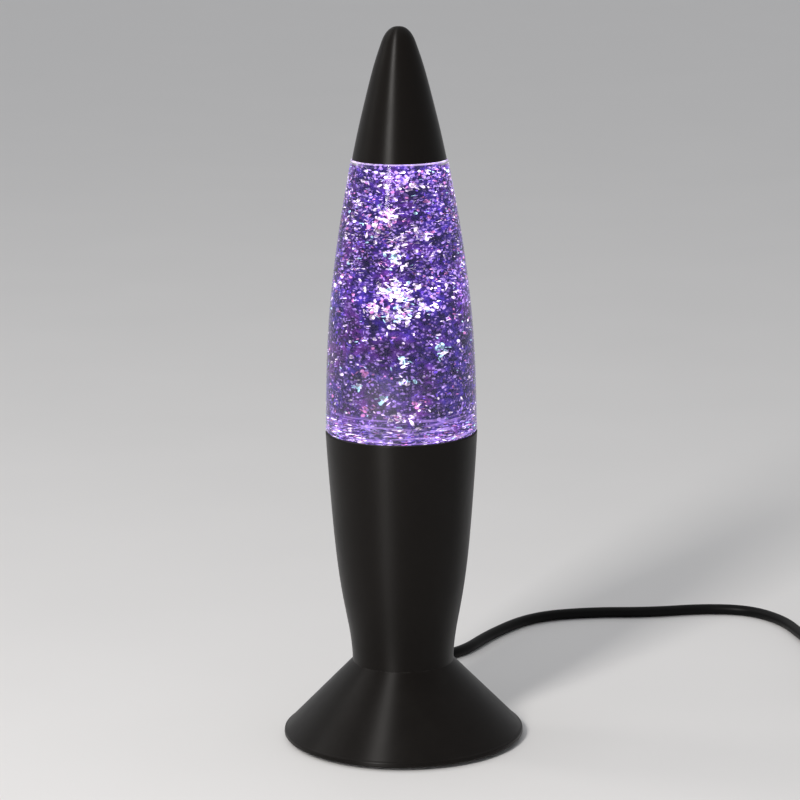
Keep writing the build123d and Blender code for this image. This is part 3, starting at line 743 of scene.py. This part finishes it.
def flake_height(low, high, stay_low):
    """Only a share of the low flakes stay low, so the upper half of the bottle is denser."""
    height = draw.uniform(low, high)
    middle = (low + high) / 2
    return height if draw.random() < stay_low or height > middle else draw.uniform(middle, high)


def add_flake(verts, faces, turn, height, depth, size, tumble):
    """One flake at a depth below the liquid's side, from 0 at the glass to 1 at the haze."""
    reach = radius_at(height)
    radius = reach - GAP_TO_GLASS - depth * (reach * (1 - CORE_SHARE) - GAPS)
    place = (radius * math.cos(turn), radius * math.sin(turn), height)
    corners = flake(place, size, draw.gauss(0.0, tumble), draw.uniform(0, 2 * math.pi),
                    FLAKE_THICKNESS)
    faces += [tuple(len(verts) + i for i in face) for face in FLAKE_FACES]
    verts += [tuple(c * MM for c in corner) for corner in corners]


# Clumps of larger flakes at the front: turn in degrees from the front to the right, height,
# spread across and up in mm, then how many of each colour.
CLUMPS = [(-3, 233, 9, 5, {"white": 46, "lilac": 20, "cyan": 12, "pink": 8}),
          (-2, 223, 10, 5, {"white": 34, "lilac": 22, "cyan": 10, "pink": 6}),
          (-26, 225, 7, 3, {"white": 14, "pink": 12}), (24, 226, 6, 3, {"white": 12, "lilac": 10}),
          (38, 203, 3, 3, {"cyan": 9, "white": 4}), (3, 200, 3, 2.5, {"cyan": 5, "white": 5}),
          (3, 190, 3, 2.5, {"cyan": 8, "white": 6}), (-38, 186, 3, 2.5, {"cyan": 8, "white": 3}),
          (-16, 181, 3, 2, {"cyan": 6, "white": 3}), (14, 178, 3, 2, {"pink": 8, "white": 3}),
          (-34, 194, 3, 2, {"pink": 8}), (-8, 172, 5, 2, {"white": 8, "pink": 5}),
          (8, 171, 5, 2, {"white": 8}), (-25, 176, 5, 3, {"pink": 9}),
          (0, 286, 8, 4, {"white": 16, "lilac": 18}), (-12, 268, 10, 5, {"white": 20, "pink": 16}),
          (-30, 264, 5, 4, {"pink": 10, "white": 6}), (6, 258, 9, 5, {"white": 20, "lilac": 18}),
          (-2, 250, 5, 4, {"white": 16, "cyan": 6}), (26, 262, 6, 4, {"lilac": 14, "white": 5})]
CLUMP_SIZES = {"white": (1.0, 1.9), "cyan": (1.0, 1.8), "pink": (0.8, 1.5), "lilac": (0.8, 1.5)}


def make_flakes(colour, count, sizes, stay_low):
    """All the flakes of one colour, in the clear shell between the haze and the glass."""
    verts, faces = [], []
    for _ in range(count):
        height = flake_height(FLAKE_LOW, FLAKE_HIGH, stay_low)
        add_flake(verts, faces, draw.uniform(0, 2 * math.pi), height, draw.random(),
                  draw.uniform(*sizes), TUMBLE_HIGH if height > TUMBLE_CHANGE else TUMBLE_LOW)
    for _ in range(count // 4):
        height = BED_LOW + BED_DEPTH * draw.random() ** 1.3
        add_flake(verts, faces, draw.uniform(0, 2 * math.pi), height, draw.random(),
                  draw.uniform(*sizes) * 1.3, TUMBLE_BED)
    for turn, height, across, up, colours in CLUMPS:
        for _ in range(colours.get(colour, 0)):
            at = min(CLUMP_HIGH, draw.gauss(height, up * 0.6))
            angle = math.radians(turn - 90) + draw.gauss(0.0, across * 0.6) / radius_at(at)
            add_flake(verts, faces, angle, at, draw.random(), draw.uniform(*CLUMP_SIZES[colour]),
                      TUMBLE_CLUMP)
    piece = add_piece("flakes_" + colour, verts, faces, FOILS[colour], smooth=False)
    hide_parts("glitter")


make_liquid()
make_haze()
make_flakes("violet", 1100, (0.6, 1.2), 0.5)
make_flakes("lilac", 1700, (0.5, 1.2), 0.5)
make_flakes("white", 700, (0.45, 1.35), 0.5)
make_flakes("pink", 460, (0.5, 1.2), 0.35)
make_flakes("cyan", 130, (0.5, 1.2), 0.75)


# ---------------------------------------------------------------- room and light
FLOOR_HALF = 14.0


def pale_floor():
    """A wide, plain, pale table top with the faintest unevenness."""
    material, tree, shader = new_material("pale_floor", Specular_IOR_Level=0.25)
    tone = noise(tree, here(tree), 6.0, 5.0)
    colour = blend_colour(tree, tone, (0.76, 0.755, 0.75), (0.79, 0.785, 0.78))
    rough = spread(tree, tone, 0.2, 0.8, 0.55, 0.7)
    feed(tree, shader, Base_Color=colour, Roughness=rough)
    mesh = bpy.data.meshes.new("floor")
    corners = [(-1, -1), (1, -1), (1, 1), (-1, 1)]
    mesh.from_pydata([(x * FLOOR_HALF, y * FLOOR_HALF, 0) for x, y in corners], [], [(0, 1, 2, 3)])
    mesh.materials.append(material)
    floor = bpy.data.objects.new("floor", mesh)
    bpy.context.collection.objects.link(floor)


WARM_WHITE = (1.0, 0.97, 0.94)


def soft_box(name, place, aim, width, height, power):
    """A large soft lamp facing a point."""
    lamp = bpy.data.lights.new(name, "AREA")
    lamp.shape = "RECTANGLE"
    lamp.size, lamp.size_y = width, height
    lamp.energy = power
    lamp.color = WARM_WHITE
    thing = bpy.data.objects.new(name, lamp)
    thing.location = place
    away = Vector(place) - Vector(aim)
    thing.rotation_mode = "QUATERNION"
    thing.rotation_quaternion = away.to_track_quat("Z", "Y")
    bpy.context.collection.objects.link(thing)


def broad_sun(name, aim_from, strength, width):
    """Even light over the whole room from one side, as soft as a bright sky."""
    lamp = bpy.data.lights.new(name, "SUN")
    lamp.energy, lamp.angle = strength, math.radians(width)
    thing = bpy.data.objects.new(name, lamp)
    thing.rotation_mode = "QUATERNION"
    thing.rotation_quaternion = Vector(aim_from).to_track_quat("Z", "Y")
    bpy.context.collection.objects.link(thing)


def even_room(colour, strength):
    """The plain pale room that lights everything a little."""
    world = bpy.data.worlds.new("studio")
    world.use_nodes = True
    background = world.node_tree.nodes["Background"].inputs
    background["Color"].default_value = (*colour, 1.0)
    background["Strength"].default_value = strength
    bpy.context.scene.world = world


pale_floor()
soft_box("key", (-0.72, -1.32, 1.05), (0.0, 0.0, 0.15), width=0.28, height=0.62, power=24.0)
soft_box("side", (-1.55, 0.5, 1.65), (0.0, 0.0, 0.05), width=0.4, height=0.9, power=4.0)
broad_sun("sky", (-0.35, 0.25, 0.9), strength=0.55, width=110.0)
even_room((0.96, 0.97, 1.0), 0.36)
bpy.context.scene.view_settings.view_transform = "Standard"
